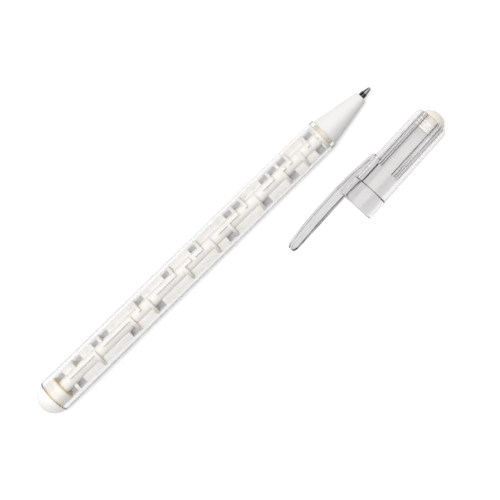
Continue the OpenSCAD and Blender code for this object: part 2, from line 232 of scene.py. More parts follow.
class ClipSizes(PropertyGroup):
    """Sizes of the clip that is moulded on the cap."""
    free: length("Free length", "How far the clip reaches past the mouth", 24.4)
    root: length("Root", "How far the clip's root runs along the cap", 16.8)
    inner: length("Inner face", "Distance of the clip's inner face from the cap's axis", 5.9546)
    wide: length("Width", "Width of the clip at its sides", 4.39)
    foot: length("Inner width", "Width of the clip's inner face", 4.41)
    top: length("Outer width", "Width of the clip's outer face", 4.11)
    tip: length("Tip width", "Width of the clip at its tip", 4.2)
    thick: length("Thickness", "Greatest thickness of the clip, at the crest of its arch", 3.05)
    waist: length("Waist", "Distance of the sides' widest line from the inner face", 0.78)
    crest: length("Crest", "Distance from the mouth to the crest of the arch", 5.5)
    tip_thick: length("Tip thickness", "Thickness of the clip where its arch ends", 1.8)
    tip_thin: share("Tip thinning", "Share of its thickness that the clip loses round its tip", 0.2)
    corner: length("Root corner", "Round at the end of the clip's root", 1.2)
    foot_edge: length("Inner edge", "Round along the inner face's edges", 0.19)
    waist_edge: length("Side edge", "Round along the sides' widest line", 0.55)
    top_edge: length("Outer edge", "Round along the outer face's edges", 0.43)
    drop: angle("Drop", "Angle of the clip below level as the cap lies", 32)


class Finishes(PropertyGroup):
    """Colours of the pieces, some of them painted light and shade."""
    clear: colour("Clear barrel", "Tint of the barrel's plastic", (0.972, 0.969, 0.968))
    clear_through: colour("Barrel light", "Light that a barrel face lets through", (0.96, 0.96, 0.96))
    clear_edge: colour("Clear edges", "Light that a face of a clear piece lets through edge-on",
                       (0.2, 0.21, 0.22))
    # Set darker than the barrel's tint to paint in the grey shade that the cap's thick walls show
    cap: colour("Clear cap", "Tint of the cap's plastic", (0.942, 0.934, 0.932))
    cap_through: colour("Cap light", "Light that a cap face lets through", (0.97, 0.968, 0.967))
    ivory: colour("Maze", "Colour of the moulded maze", (0.905, 0.888, 0.862))
    ivory_deep: colour("Maze shade", "Colour of the maze's deeper patches", (0.89, 0.866, 0.828))
    # Painted warm shade on the maze's faces that look along the pen
    ivory_painted_side_shade: colour("Maze sides", "Colour of the maze's faces across the pen", (0.92, 0.84, 0.70))
    plug: colour("Plug", "Colour of the end plug's dome", (0.86, 0.84, 0.815))
    plug_deep: colour("Plug shade", "Colour of the plug's deeper patches", (0.84, 0.815, 0.78))
    nose: colour("Nose", "Colour of the nose cone", (0.75, 0.742, 0.73))
    nose_deep: colour("Nose shade", "Colour of the nose's deeper patches", (0.735, 0.725, 0.71))
    # Painted warm light on the plug where it sits inside the barrel
    spigot: colour("Spigots", "Colour of the plug inside the barrel", (0.97, 0.93, 0.86))
    # Painted warm light on the nose where it sits inside the barrel
    neck: colour("Neck", "Colour of the nose inside the barrel", (0.83, 0.765, 0.655))
    # Painted amber shade on the plug's seam and on its end inside the barrel
    amber_painted_shade: colour("Shaded plastic", "Colour of the plug's shaded seam and end", (0.86, 0.66, 0.36))
    cream: colour("Stopper", "Colour of the cap's stopper", (0.83, 0.785, 0.725))
    cream_deep: colour("Stopper shade", "Colour of the stopper's deeper patches", (0.81, 0.755, 0.675))
    stem: colour("Stem", "Colour of the stopper's stem inside the cap", (0.92, 0.91, 0.895))
    refill: colour("Refill", "Colour of the refill's plastic", (0.80, 0.81, 0.80))
    refill_deep: colour("Refill shade", "Colour of the refill's deeper patches", (0.70, 0.72, 0.73))
    ink: colour("Ink", "Colour of the ink", (0.01, 0.015, 0.07))
    ink_deep: colour("Ink shade", "Colour of the ink's deeper patches", (0.004, 0.006, 0.03))
    # Painted dark reflection on the point's straight shank
    point_dark_painted_reflection: colour("Point shank", "Colour of the straight part of the point", (0.13, 0.11, 0.11))
    point: colour("Point", "Colour of the metal point", (0.7, 0.67, 0.63))
    point_deep: colour("Point shade", "Colour of the point's turning lines", (0.5, 0.42, 0.3))
    steel: colour("Steel", "Colour of the balls", (0.62, 0.62, 0.64))
    steel_deep: colour("Steel shade", "Colour of the balls' worn patches", (0.45, 0.45, 0.47))


class Studio(PropertyGroup):
    """The floor, the lights and the camera."""
    floor: colour("Floor", "Colour of the floor", (0.77, 0.77, 0.77))
    floor_lift: share("Floor lift", "White that the floor adds towards the camera", 0.3)
    floor_through: share("Floor lift behind plastic", "White that the floor adds through the clear pieces",
                         0.06)
    sky_place: spot("Sky middle", "Direction of the soft light's middle", (-30, 480, 800))
    sky_level: FloatProperty(name="Sky", default=0.95, min=0.0,
                             description="Level of the soft light from its middle")
    sky_focus: FloatProperty(name="Sky focus", default=0.6, min=0.0,
                             description="How closely the soft light keeps to its middle")
    key_place: spot("Lamp", "Place of the soft lamp", (-55, 125, 970))
    key_size: length("Lamp size", "Width of the soft lamp", 240)
    key_power: FloatProperty(name="Lamp power", default=5.5, min=0.0, unit="POWER",
                             description="Power of the soft lamp")
    card: colour("Card", "Colour of the dark cards that draw the edges of the clear plastic",
                 (0.06, 0.08, 0.1))
    card_ring: length("Card ring", "Distance of the dark cards from the middle", 400)
    card_stretch: FloatProperty(name="Card stretch", default=2.2, min=1.0,
                                description="How much farther off the cards stand along X")
    card_low: length("Card foot", "Height of the cards' lower edge", 20)
    card_high: length("Card top", "Height of the cards' upper edge", 640)
    camera: spot("Camera", "Place of the camera", (28.64, 14.09, 493.03))
    target: spot("Target", "Place in the middle of the picture", (5.25, 1.75, 6.0))
    heading: angle("Heading", "Direction of the picture's right side, seen from above", -44.27)
    lens: FloatProperty(name="Lens", description="Focal length", default=108.48, min=1.0, unit="CAMERA")


class MazePen(PropertyGroup):
    """All that a user would change."""
    barrel: PointerProperty(name="Barrel", description="Sizes of the barrel", type=BarrelSizes)
    maze: PointerProperty(name="Maze", description="Sizes of the maze", type=MazeSizes)
    ends: PointerProperty(name="Ends", description="Sizes of the plug, nose and point", type=EndSizes)
    cap: PointerProperty(name="Cap", description="Sizes of the cap", type=CapSizes)
    clip: PointerProperty(name="Clip", description="Sizes of the clip", type=ClipSizes)
    finish: PointerProperty(name="Finishes", description="Colours of the pieces", type=Finishes)
    studio: PointerProperty(name="Studio", description="Floor, lights and camera", type=Studio)


# Places in the shared frame

def mount_frame(name, facing, outer_end):
    """Matrix that lays a piece's Z along a mount's axis, with its X down, where the mount's outer end has
    that place along the piece. A mount's position is the middle of its length."""
    mount = next(m for m in frame["record"]["mounts"] if m["name"] == name)
    along = Vector(mount["axis"]).normalized() * facing
    left = Vector((-along.y, along.x, 0)).normalized()
    down = left.cross(along)
    middle = outer_end - facing * mount["dims"]["length_mm"] * MM / 2
    start = Vector(mount["pos_m"]) - along * middle
    return Matrix.Translation(start) @ Matrix((down, left, along)).transposed().to_4x4()


def pen_places(pen):
    """Places along the pen from the tip of its dome."""
    at = SimpleNamespace(seam=pen.ends.dome_h)
    at.spigot = at.seam + pen.ends.spigot
    at.hub = at.spigot - pen.ends.socket + pen.ends.fit
    at.disc = at.spigot + pen.maze.cells * pen.maze.cell - pen.maze.wall / 2
    at.lip = at.disc + pen.maze.disc
    at.front = at.lip + pen.barrel.lip
    at.nose_end = at.front + pen.ends.nose
    at.tip = at.nose_end + pen.ends.point_out
    at.refill = at.nose_end - pen.ends.hold
    at.shank = at.refill - pen.ends.shank
    at.taper = at.tip - pen.ends.taper
    at.ball = at.tip - pen.ends.ball_d / 2
    return at


def pen_frame(pen):
    """The pen's own frame. Its cap seat's mount ends where the edge of the front end begins."""
    return mount_frame("cap_seat", 1, pen_places(pen).front - pen.barrel.edge)


def cap_frame():
    """The cap's own frame. Its socket's mount starts at the mouth and faces out of it."""
    return mount_frame("cap_socket", -1, 0)


def x_at(place, along):
    """X in the shared frame of a point on a piece's axis."""
    return (place @ Vector((0, 0, along))).x


# Modelling

def softened(corners):
    """Points of a closed outline whose corners, given as (across, along, radius), are rounded by arcs."""
    points = []
    for i, (across, along, radius) in enumerate(corners):
        here = Vector((across, along))
        if not radius:
            points.append(here)
            continue
        back = (Vector(corners[i - 1][:2]) - here).normalized()
        on = (Vector(corners[(i + 1) % len(corners)][:2]) - here).normalized()
        half = back.angle(on) / 2
        centre = here + (back + on).normalized() * radius / math.sin(half)
        start = here + back * radius / math.tan(half) - centre
        end = here + on * radius / math.tan(half) - centre
        sweep = start.angle(end)
        for k in range(CORNER_STEPS + 1):
            part = sweep * k / CORNER_STEPS
            mixed = start * math.sin(sweep - part) + end * math.sin(part)
            points.append(centre + mixed / math.sin(sweep))
    return points


def arc_radius(half, rise):
    """Radius of an arc, from half its chord and its rise."""
    return (half ** 2 + rise ** 2) / (2 * rise)


def bowl(radius, centre, first, last):
    """Points (across, along) on a circle round the axis, between two angles from the axis's far end."""
    steps = [first + (last - first) * k / CURVE_STEPS for k in range(CURVE_STEPS + 1)]
    return [Vector((radius * math.sin(a), centre + radius * math.cos(a))) for a in steps]


def choose(piece):
    """Selects one object and nothing else."""
    bpy.ops.object.select_all(action="DESELECT")
    piece.select_set(True)
    bpy.context.view_layer.objects.active = piece


def added(add, **values):
    """The object that an operator adds, which is then the only one selected."""
    bpy.ops.object.select_all(action="DESELECT")
    add(**values)
    return bpy.context.object


def copied(piece):
    """A copy of an object, with its own mesh."""
    choose(piece)
    bpy.ops.object.duplicate()
    return bpy.context.object


def trace(name, points):
    """Starts an object in edit mode with a line through the points."""
    piece = added(bpy.ops.mesh.primitive_plane_add, size=MM)
    piece.name = name
    piece.data.name = name
    bpy.ops.object.mode_set(mode="EDIT")
    bpy.ops.mesh.select_mode(type="VERT")
    bpy.ops.mesh.select_all(action="SELECT")
    bpy.ops.mesh.merge(type="CENTER")
    bpy.ops.transform.translate(value=points[0])
    for here, there in zip(points, points[1:]):
        bpy.ops.mesh.extrude_vertices_move(TRANSFORM_OT_translate={"value": there - here})
    return piece


def close_up():
    """Joins doubled points, turns the faces outwards and leaves edit mode."""
    bpy.ops.mesh.select_all(action="SELECT")
    bpy.ops.mesh.remove_doubles(threshold=WELD)
    bpy.ops.mesh.dissolve_degenerate(threshold=WELD / 10)
    bpy.ops.mesh.select_all(action="SELECT")
    bpy.ops.mesh.normals_make_consistent(inside=False)
    bpy.ops.object.mode_set(mode="OBJECT")


def turned(name, outline):
    """A piece turned round the axis from an outline of points (across, along)."""
    piece = trace(name, [Vector((p[0], 0, p[1])) for p in outline])
    bpy.ops.mesh.select_all(action="SELECT")
    bpy.ops.mesh.spin(steps=TURN_STEPS, angle=2 * math.pi, center=(0, 0, 0), axis=(0, 0, 1))
    close_up()
    return piece


def ring(corners):
    """A closed outline with rounded corners, back to its first point."""
    points = softened(corners)
    return points + points[:1]


def push(along, across=(1, 1), centre=(0, 0, 0)):
    """Extrudes what is selected along Z, then sizes it across the axis about a point."""
    bpy.ops.mesh.extrude_region_move(TRANSFORM_OT_translate={"value": (0, 0, along)})
    bpy.ops.transform.resize(value=(*across, 1), center_override=centre)


def swing(radians):
    """Turns what is selected about Z, where a positive angle goes from X to Y."""
    bpy.ops.transform.rotate(value=-radians, orient_axis="Z", center_override=(0, 0, 0))


def pick(piece, kind, test):
    """Selects the points or faces of the mesh in edit mode that pass the test, and nothing else."""
    bpy.ops.mesh.select_mode(type={"verts": "VERT", "faces": "FACE"}[kind])
    bpy.ops.mesh.select_all(action="DESELECT")
    mesh = bmesh.from_edit_mesh(piece.data)
    for item in getattr(mesh, kind):
        item.select_set(test(item.co if kind == "verts" else item.calc_center_median()))
    mesh.select_flush_mode()
    bmesh.update_edit_mesh(piece.data)


def apply_modifier(piece, kind, **values):
    """Adds a modifier with these values and applies it."""
    bpy.context.view_layer.objects.active = piece
    modifier = piece.modifiers.new(kind.title(), kind)
    for key, value in values.items():
        setattr(modifier, key, value)
    bpy.ops.object.modifier_apply(modifier=modifier.name)


def combine(piece, tool, operation):
    """Joins a piece with a tool, or cuts it, and takes the tool away."""
    apply_modifier(piece, "BOOLEAN", operation=operation, object=tool, solver="EXACT")
    bpy.data.objects.remove(tool)


def lay(piece, place):
    """Puts a piece in its place and leaves its object unturned at the origin."""
    choose(piece)
    piece.matrix_world = place
    bpy.ops.object.transform_apply(location=True, rotation=True, scale=True)
    bpy.ops.object.shade_smooth_by_angle(angle=SMOOTH_ANGLE)
    # Large faces stay flat beside the small faces of their rounded edges
    apply_modifier(piece, "WEIGHTED_NORMAL", weight=100, keep_sharp=True)


def clothe(piece, material):
    """Gives a piece one material."""
    piece.data.materials.clear()
    piece.data.materials.append(material)


# Materials

def fill(node, values):
    """Sets a node's inputs to values, or links them to other nodes' outputs."""
    for key, value in values.items():
        if isinstance(value, bpy.types.NodeSocket):
            node.id_data.links.new(value, node.inputs[key])
        else:
            node.inputs[key].default_value = value


def new_node(tree, kind, values=None, **settings):
    """Adds a node with its settings and with what its inputs get."""
    node = tree.nodes.new(kind)
    node.location = (NODE_STEP * len(tree.nodes), 0)
    for key, value in settings.items():
        setattr(node, key, value)
    fill(node, values or {})
    return node


def reckon(tree, operation, *values, kind="ShaderNodeMath"):
    """Result of a math node, from values or other nodes' outputs."""
    node = new_node(tree, kind, dict(enumerate(values)), operation=operation)
    return next(output for output in node.outputs if output.enabled)


def reckon_vector(tree, operation, *values):
    """Result of a vector math node, from values or other nodes' outputs."""
    return reckon(tree, operation, *values, kind="ShaderNodeVectorMath")


def ranged(tree, value, **ends):
    """A value brought from one range to another, whose ends are given as from_min, to_max and so on."""
    ends = {key.replace("_", " ").title(): end for key, end in ends.items()}
    return new_node(tree, "ShaderNodeMapRange", {"Value": value, **ends}).outputs["Result"]


def blended(tree, part, own, other):
    """A colour of which a part is taken up by another one."""
    values = {"Factor": part, "A": own, "B": other}
    return new_node(tree, "ShaderNodeMix", values, data_type="RGBA").outputs["Result"]


def object_place(tree):
    """Coordinates of a surface in the shared frame."""
    return new_node(tree, "ShaderNodeTexCoord").outputs["Object"]


def noise(tree, where, scale, **values):
    """Noise on these coordinates."""
    values = {key.capitalize(): value for key, value in values.items()}
    return new_node(tree, "ShaderNodeTexNoise", {"Vector": where, "Scale": scale, **values}).outputs["Fac"]


def surface_group():
    """The moulded surface that all the plastics and metals share: patches, grain and handling marks."""
    name = "Moulded surface"
    if name in bpy.data.node_groups:
        return bpy.data.node_groups[name]
    group = bpy.data.node_groups.new(name, "ShaderNodeTree")
    for way, kind, labels in (
        ("INPUT", "NodeSocketColor", ("Colour", "Patch colour")),
        ("INPUT", "NodeSocketFloat", ("Patch size", "Grain size", "Least roughness", "Most roughness")),
        ("OUTPUT", "NodeSocketColor", ("Colour",)),
        ("OUTPUT", "NodeSocketFloat", ("Roughness", "Height")),
    ):
        for label in labels:
            group.interface.new_socket(label, in_out=way, socket_type=kind)
    given = new_node(group, "NodeGroupInput").outputs
    where = object_place(group)
    patches = noise(group, where, given["Patch size"], detail=3.0, roughness=0.55)
    patches = ranged(group, patches, from_min=0.42, from_max=0.72)
    grain = noise(group, where, given["Grain size"], detail=2.0)
    stretch = new_node(group, "ShaderNodeMapping", {"Vector": where, "Scale": (90.0, 2400.0, 2400.0)})
    scuffs = noise(group, stretch.outputs["Vector"], 1.0, detail=1.0)
    scuffs = ranged(group, scuffs, from_min=0.66, from_max=0.8)
    both = new_node(group, "ShaderNodeMath", {0: grain, 1: 0.5, 2: scuffs}, operation="MULTIPLY_ADD",
                    use_clamp=True)
    new_node(group, "NodeGroupOutput", {
        "Colour": blended(group, patches, given["Colour"], given["Patch colour"]),
        "Roughness": ranged(group, both.outputs["Value"], to_min=given["Least roughness"],
                            to_max=given["Most roughness"]),
        "Height": grain,
    })
    return group


def surface(name, tone, deep, roughness, values, bump, patch_size=90.0, grain_size=2600.0):
    """A material on the shared surface, with its Principled shader's other values."""
    material = bpy.data.materials.new(name)
    material.use_nodes = True
    tree = material.node_tree
    skin = new_node(tree, "ShaderNodeGroup", {
        "Colour": (*tone, 1), "Patch colour": (*deep, 1),
        "Patch size": patch_size, "Grain size": grain_size,
        "Least roughness": roughness[0], "Most roughness": roughness[1],
    }, node_tree=surface_group()).outputs
    relief = new_node(tree, "ShaderNodeBump", {
        "Strength": bump, "Distance": GRAIN_DEPTH, "Height": skin["Height"],
    }).outputs["Normal"]
    fill(tree.nodes["Principled BSDF"], {
        "Base Color": skin["Colour"], "Roughness": skin["Roughness"], "Normal": relief, **values})
    return material


def moulded(name, tone, deep, roughness=(0.34, 0.5), glow=0.15):
    """Moulded plastic that lets some light through its thin walls, warmed on the way."""
    return surface(name, tone, deep, roughness, {
        "IOR": 1.5, "Subsurface Weight": glow, "Subsurface Radius": (1.0, 0.9, 0.8),
        "Subsurface Scale": 0.4 * MM}, bump=0.25)


def metal(name, tone, deep, roughness):
    """Polished or turned metal."""
    return surface(name, tone, deep, roughness, {"Metallic": 1.0}, bump=0.1,
                   patch_size=700.0, grain_size=9000.0)


def toned(material, tone, part):
    """Lets a tone take up a part of a material's colour."""
    shader = material.node_tree.nodes["Principled BSDF"]
    own = shader.inputs["Base Color"].links[0].from_socket
    fill(shader, {"Base Color": blended(material.node_tree, part, own, tone)})


def toned_along(material, places):
    """Blends a material's colour into tones along X, given as (place, tone, part shown) in order."""
    tree = material.node_tree
    first, last = places[0][0], places[-1][0]
    where = new_node(tree, "ShaderNodeSeparateXYZ", {"Vector": object_place(tree)})
    part = ranged(tree, where.outputs["X"], from_min=first, from_max=last)
    ramp = new_node(tree, "ShaderNodeValToRGB", {"Fac": part})
    stops = ramp.color_ramp.elements
    for place, _, _ in places[1:-1]:
        stops.new((place - first) / (last - first))
    for stop, (_, tone, shown) in zip(stops, places):
        stop.color = (*tone, shown)
    toned(material, ramp.outputs["Color"], ramp.outputs["Alpha"])


def paint_side_shade(piece, material, tone):
    """Blends a material's colour into a tone of painted shade on the faces of a piece that look along X.
    """
    sides = piece.data.attributes.new("side", "FLOAT", "FACE")
    for face, mark in zip(piece.data.polygons, sides.data):
        mark.value = abs(face.normal.x) > SIDE_FACING
    mark = new_node(material.node_tree, "ShaderNodeAttribute", attribute_name="side")
    toned(material, (*tone, 1), mark.outputs["Fac"])


def clear(name, tint, through, edge_on, place, outside, end, rim_range):
    """Clear plastic. Lamp light and diffuse light go straight through it, and are dimmed where they graze
    its round outside, up to its end."""
    material = surface(name, tint, [CLEAR_PATCH * v for v in tint], (0.0, 0.01), {
        "IOR": 1.49, "Transmission Weight": 1.0}, bump=0.0001, patch_size=60.0, grain_size=150.0)
    tree = material.node_tree
    axis = place.col[2].xyz
    off = reckon_vector(tree, "SUBTRACT", object_place(tree), place.translation)
    far = reckon_vector(tree, "LENGTH", reckon_vector(tree, "CROSS_PRODUCT", off, axis))
    along = reckon_vector(tree, "DOT_PRODUCT", off, axis)
    side = reckon(tree, "MULTIPLY", reckon(tree, "GREATER_THAN", far, outside),
                  reckon(tree, "LESS_THAN", along, end))
    graze = new_node(tree, "ShaderNodeLayerWeight", {"Blend": 0.5}).outputs["Facing"]
    graze = ranged(tree, graze, from_min=rim_range[0], from_max=rim_range[1])
    dimmed = blended(tree, reckon(tree, "MULTIPLY", side, graze), (*through, 1), (*edge_on, 1))
    open_way = new_node(tree, "ShaderNodeBsdfTransparent", {"Color": dimmed}).outputs["BSDF"]
    path = new_node(tree, "ShaderNodeLightPath").outputs
    shown = tree.nodes["Principled BSDF"].outputs["BSDF"]
    for ray in ("Is Shadow Ray", "Is Diffuse Ray"):
        mix = new_node(tree, "ShaderNodeMixShader", {"Fac": path[ray], 1: shown, 2: open_way})
        shown = mix.outputs["Shader"]
    fill(tree.nodes["Material Output"], {"Surface": shown})
    return material


# Pieces

class PieceOperator(Operator):
    """What the operators of the pieces share."""
    bl_options = {"REGISTER", "UNDO"}

    def hand_over(self, piece, body, node, slot, material):
        """Finishes a piece: its material, the body that it rides on, and the node that it stands for."""
        clothe(piece, material)
        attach(piece, body)
        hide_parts(node)
        return {"FINISHED"}


class MAZEPEN_OT_barrel(PieceOperator):
    """Turn the clear barrel with its front lip"""
    bl_idname = "mazepen.barrel"
    bl_label = "Barrel"

    def execute(self, context):
        pen = context.scene.maze_pen
        sizes = pen.barrel
        at = pen_places(pen)
        edge = sizes.edge
        piece = turned("clear_barrel", ring([
            (sizes.bore_d / 2, at.seam, edge),
            (sizes.rear_d / 2, at.seam, edge),
            (sizes.front_d / 2, at.front - sizes.seat, 0),
            (sizes.front_d / 2, at.front, edge),
            (sizes.lip_d / 2, at.front, edge / 2),
            (sizes.lip_d / 2, at.lip, edge / 2),
            (sizes.bore_d / 2, at.lip, edge / 2),
        ]))
        lay(piece, pen_frame(pen))
        outside = (sizes.bore_d + sizes.front_d) / 4
        material = clear("Clear barrel", pen.finish.clear, pen.finish.clear_through, pen.finish.clear_edge,
                         pen_frame(pen), outside, at.front, BARREL_RIM)
        return self.hand_over(piece, "pen", "barrel_tube", "clear_barrel", material)


class MAZEPEN_OT_maze(PieceOperator):
    """Extrude the maze's fins, cross walls and disc from its hub"""
    bl_idname = "mazepen.maze"
    bl_label = "Maze"
    fin_steps = 3
    lane_steps = 12

    def execute(self, context):
        pen = context.scene.maze_pen
        sizes = pen.maze
        at = pen_places(pen)
        at.hub_r = sizes.hub_d / 2
        at.core_r = sizes.core_d / 2
        at.first_fin = math.pi - sizes.roll
        at.half_fin = math.asin(sizes.fin / 2 / at.hub_r)
        at.gates = [at.disc - sizes.gate_first - i * sizes.gate_pitch for i in range(sizes.gates)]
        piece = self.hub(sizes, at)
        self.fins(piece, sizes, at)
        self.fin_sides(piece, sizes, at)
        self.bore(piece, sizes, at)
        self.marks(piece, sizes, at)
        lay(piece, pen_frame(pen))
        material = moulded("Maze plastic", pen.finish.ivory, pen.finish.ivory_deep)
        # Painted warm shade on the maze's faces that look along the pen
        paint_side_shade(piece, material, pen.finish.ivory_painted_side_shade)
        return self.hand_over(piece, "pen", "maze_core", "maze_ivory", material)

    def hub(self, sizes, at):
        """The hub, in edit mode, with edges where fins, walls, openings and notches start and end."""
        start = at.first_fin - at.half_fin
        corner = Vector((at.hub_r * math.cos(start), at.hub_r * math.sin(start), at.hub))
        piece = trace("maze_moulding", [corner])
        fin = (self.fin_steps, 2 * at.half_fin)
        lane = (self.lane_steps, QUARTER - 2 * at.half_fin)
        for steps, sweep in (fin, lane) * len(FIN_GAPS):
            bpy.ops.mesh.spin(steps=steps, angle=sweep, center=(0, 0, 0), axis=(0, 0, 1))
        bpy.ops.mesh.select_all(action="SELECT")
        bpy.ops.mesh.remove_doubles(threshold=WELD)
        bpy.ops.mesh.select_all(action="SELECT")
        posts = [at.disc - c * sizes.cell for c in range(1, sizes.cells)]
        cuts = [at.hub, at.spigot, at.disc - sizes.wall / 2, at.disc, at.lip]
        for middles, wide in ((posts, sizes.wall), (at.gates, sizes.gate)):
            cuts += [z + side * wide / 2 for z in middles for side in (-1, 1)]
        cuts.sort()
        for here, there in zip(cuts, cuts[1:]):
            if there - here > WELD:
                push(there - here)
        return piece

    def fins(self, piece, sizes, at):
        """Raises the fins, the walls and the disc from the hub."""
        def solid(face):
            round_hub = (math.atan2(face.y, face.x) - at.first_fin) % (4 * QUARTER) / QUARTER
            fin = round(round_hub) % 4
            on_fin = abs(round_hub - round(round_hub)) * QUARTER < at.half_fin
            cells = (at.disc - face.z) / sizes.cell
            post = abs(cells - round(cells)) * sizes.cell < sizes.wall / 2
            if face.z < at.spigot:
                return False
            if face.z > at.disc:
                return True
            if not on_fin:
                return post and round(cells) in LANE_WALLS[int(round_hub)]
            if fin == 0 and any(abs(face.z - z) < sizes.gate / 2 for z in at.gates):
                return False
            # The top fin ends with the post before its two last openings
            if fin == 0 and cells > FIN_GAPS[0][-2]:
                return round(cells) == FIN_GAPS[0][-2]
            return post or int(cells) not in FIN_GAPS[fin]

        pick(piece, "faces", solid)
        push(0, (at.core_r / at.hub_r, at.core_r / at.hub_r))

    def fin_sides(self, piece, sizes, at):
        """Brings the fins' outer edges closer together, so that their sides run parallel."""
        lean = at.half_fin - math.asin(sizes.fin / 2 / at.core_r)
        for k in range(self.fin_steps + 1):
            place = 2 * k / self.fin_steps - 1

            def on_edge(point):
                around = math.atan2(point.y, point.x) - at.first_fin - place * at.half_fin
                off = (around + QUARTER / 2) % QUARTER - QUARTER / 2
                outside = math.hypot(point.x, point.y) > (at.hub_r + at.core_r) / 2
                return outside and point.z < at.disc + WELD and abs(off) < at.half_fin / 10

            pick(piece, "verts", on_edge)
            swing(-place * lean)

    def bore(self, piece, sizes, at):
        """The hub's bore, from its rear edge through to the disc's face. It closes the mesh."""
        narrow = sizes.hub_bore_d / sizes.hub_d
        pick(piece, "verts", lambda point: point.z < at.hub + WELD)
        push(0, (narrow, narrow))
        push(at.lip - at.hub)
        push(0, (1 / narrow, 1 / narrow))
        close_up()

    def marks(self, piece, sizes, at):
        """Cuts the ejector marks in the side fins."""
        pin = added(bpy.ops.mesh.primitive_cylinder_add, vertices=MARK_STEPS, radius=sizes.mark_d / 2,
                    depth=2 * sizes.mark_deep)
        for fin, side, marked in EJECTOR_MARKS:
            turn = Matrix.Rotation(at.first_fin + fin * QUARTER, 4, "Z")
            for cell in marked:
                along = at.disc - (cell + 0.5) * sizes.cell
                place = Matrix.Translation(((at.hub_r + at.core_r) / 2, side * sizes.fin / 2, along))
                tool = copied(pin)
                tool.matrix_world = turn @ place @ Matrix.Rotation(QUARTER, 4, "X")
                combine(piece, tool, "DIFFERENCE")
        bpy.data.objects.remove(pin)


class MAZEPEN_OT_end_plug(PieceOperator):
    """Turn the domed plug with its ridged spigot"""
    bl_idname = "mazepen.end_plug"
    bl_label = "End plug"

    def execute(self, context):
        pen = context.scene.maze_pen
        sizes = pen.ends
        at = pen_places(pen)
        rim = sizes.dome_d / 2
        sphere = arc_radius(rim, sizes.dome_h)
        inside = sizes.spigot_d / 2
        hub = pen.maze.hub_d / 2 + sizes.fit
        edge = pen.barrel.edge
        outline = bowl(sphere, sphere, math.pi, math.pi - math.asin(rim / sphere))
        outline.append((inside, at.seam))
        for i in range(sizes.ridges):
            middle = at.seam + (i + 1) * sizes.ridge_pitch
            for off, height in RIDGE:
                outline.append((inside + height * sizes.ridge_h, middle + off * sizes.ridge_pitch / 4))
        outline += [
            (inside, at.spigot - edge),
            (inside - edge, at.spigot),
            (hub + edge, at.spigot),
            (hub, at.spigot - edge),
            (hub, at.spigot - sizes.socket),
            (0, at.spigot - sizes.socket),
        ]
        piece = turned("domed_plug", outline)
        lay(piece, pen_frame(pen))
        material = moulded("Plug plastic", pen.finish.plug, pen.finish.plug_deep, roughness=(0.2, 0.36))
        seam = x_at(pen_frame(pen), at.seam)
        end = x_at(pen_frame(pen), at.spigot)
        spigot = pen.finish.spigot
        amber_painted_shade = pen.finish.amber_painted_shade
        # Painted light and shade along the plug: amber shade at the seam and at the spigot's end, warm
        # light on the spigot inside the barrel
        toned_along(material, (
            (seam - edge / 2, amber_painted_shade, 0),
            (seam, amber_painted_shade, SEAM_SHADE),
            (seam + edge, amber_painted_shade, SEAM_SHADE),
            (seam + 3 * edge, spigot, 1),
            (end - edge, spigot, 1),
            (end - edge / 2, amber_painted_shade, 1),
        ))
        return self.hand_over(piece, "pen", "end_plug", "plug_white", material)


class MAZEPEN_OT_nose(PieceOperator):
    """Turn the white nose cone"""
    bl_idname = "mazepen.nose"
    bl_label = "Nose"

    def execute(self, context):
        pen = context.scene.maze_pen
        sizes = pen.ends
        at = pen_places(pen)
        neck = pen.barrel.lip_d / 2 - sizes.fit
        bore = pen.maze.hub_bore_d / 2
        hole = sizes.point_d / 2 + sizes.fit
        edge = pen.barrel.edge
        piece = turned("nose", ring([
            (bore, at.lip, 0),
            (neck, at.lip, edge / 2),
            (neck, at.front, 0),
            (sizes.nose_base_d / 2, at.front, edge),
            (sizes.nose_end_d / 2, at.nose_end, sizes.nose_edge),
            (hole, at.nose_end, edge / 2),
            (hole, at.refill, 0),
            (bore, at.refill, 0),
        ]))
        lay(piece, pen_frame(pen))
        material = moulded("Nose plastic", pen.finish.nose, pen.finish.nose_deep)
        front = x_at(pen_frame(pen), at.front)
        # Painted warm light on the nose's neck inside the barrel
        toned_along(material, ((front - edge, pen.finish.neck, 1), (front, pen.finish.neck, 0)))
        return self.hand_over(piece, "pen", "nose_cone", "nose_white", material)


class MAZEPEN_OT_point(PieceOperator):
    """Turn the metal point with the seat of its writing ball"""
    bl_idname = "mazepen.point"
    bl_label = "Metal point"

    def execute(self, context):
        pen = context.scene.maze_pen
        sizes = pen.ends
        at = pen_places(pen)
        seat = sizes.ball_d / 2 + sizes.ball_fit
        rim = math.sqrt(seat ** 2 - sizes.rim_ahead ** 2) + sizes.rim
        feed = sizes.feed_d / 2
        shank = sizes.shank_d / 2
        thick = sizes.point_d / 2
        edge = pen.barrel.edge / 2
        corners = [
            (feed, at.shank, 0),
            (shank, at.shank, edge),
            (shank, at.refill, 0),
            (thick, at.refill, edge),
            (thick, at.taper, edge),
            (rim, at.ball + sizes.rim_ahead, 0),
        ]
        cup = bowl(seat, at.ball, math.acos(sizes.rim_ahead / seat), math.pi - math.asin(feed / seat))
        outline = softened(corners) + cup
        piece = turned("point", outline + outline[:1])
        lay(piece, pen_frame(pen))
        material = metal("Turned point", pen.finish.point, pen.finish.point_deep, roughness=(0.08, 0.2))
        # Painted dark reflection on the straight shank, up to the taper
        taper = x_at(pen_frame(pen), at.taper)
        dark = pen.finish.point_dark_painted_reflection
        toned_along(material, ((taper - edge, dark, 1), (taper, dark, 0)))
        return self.hand_over(piece, "pen", "point_body", "point_metal", material)


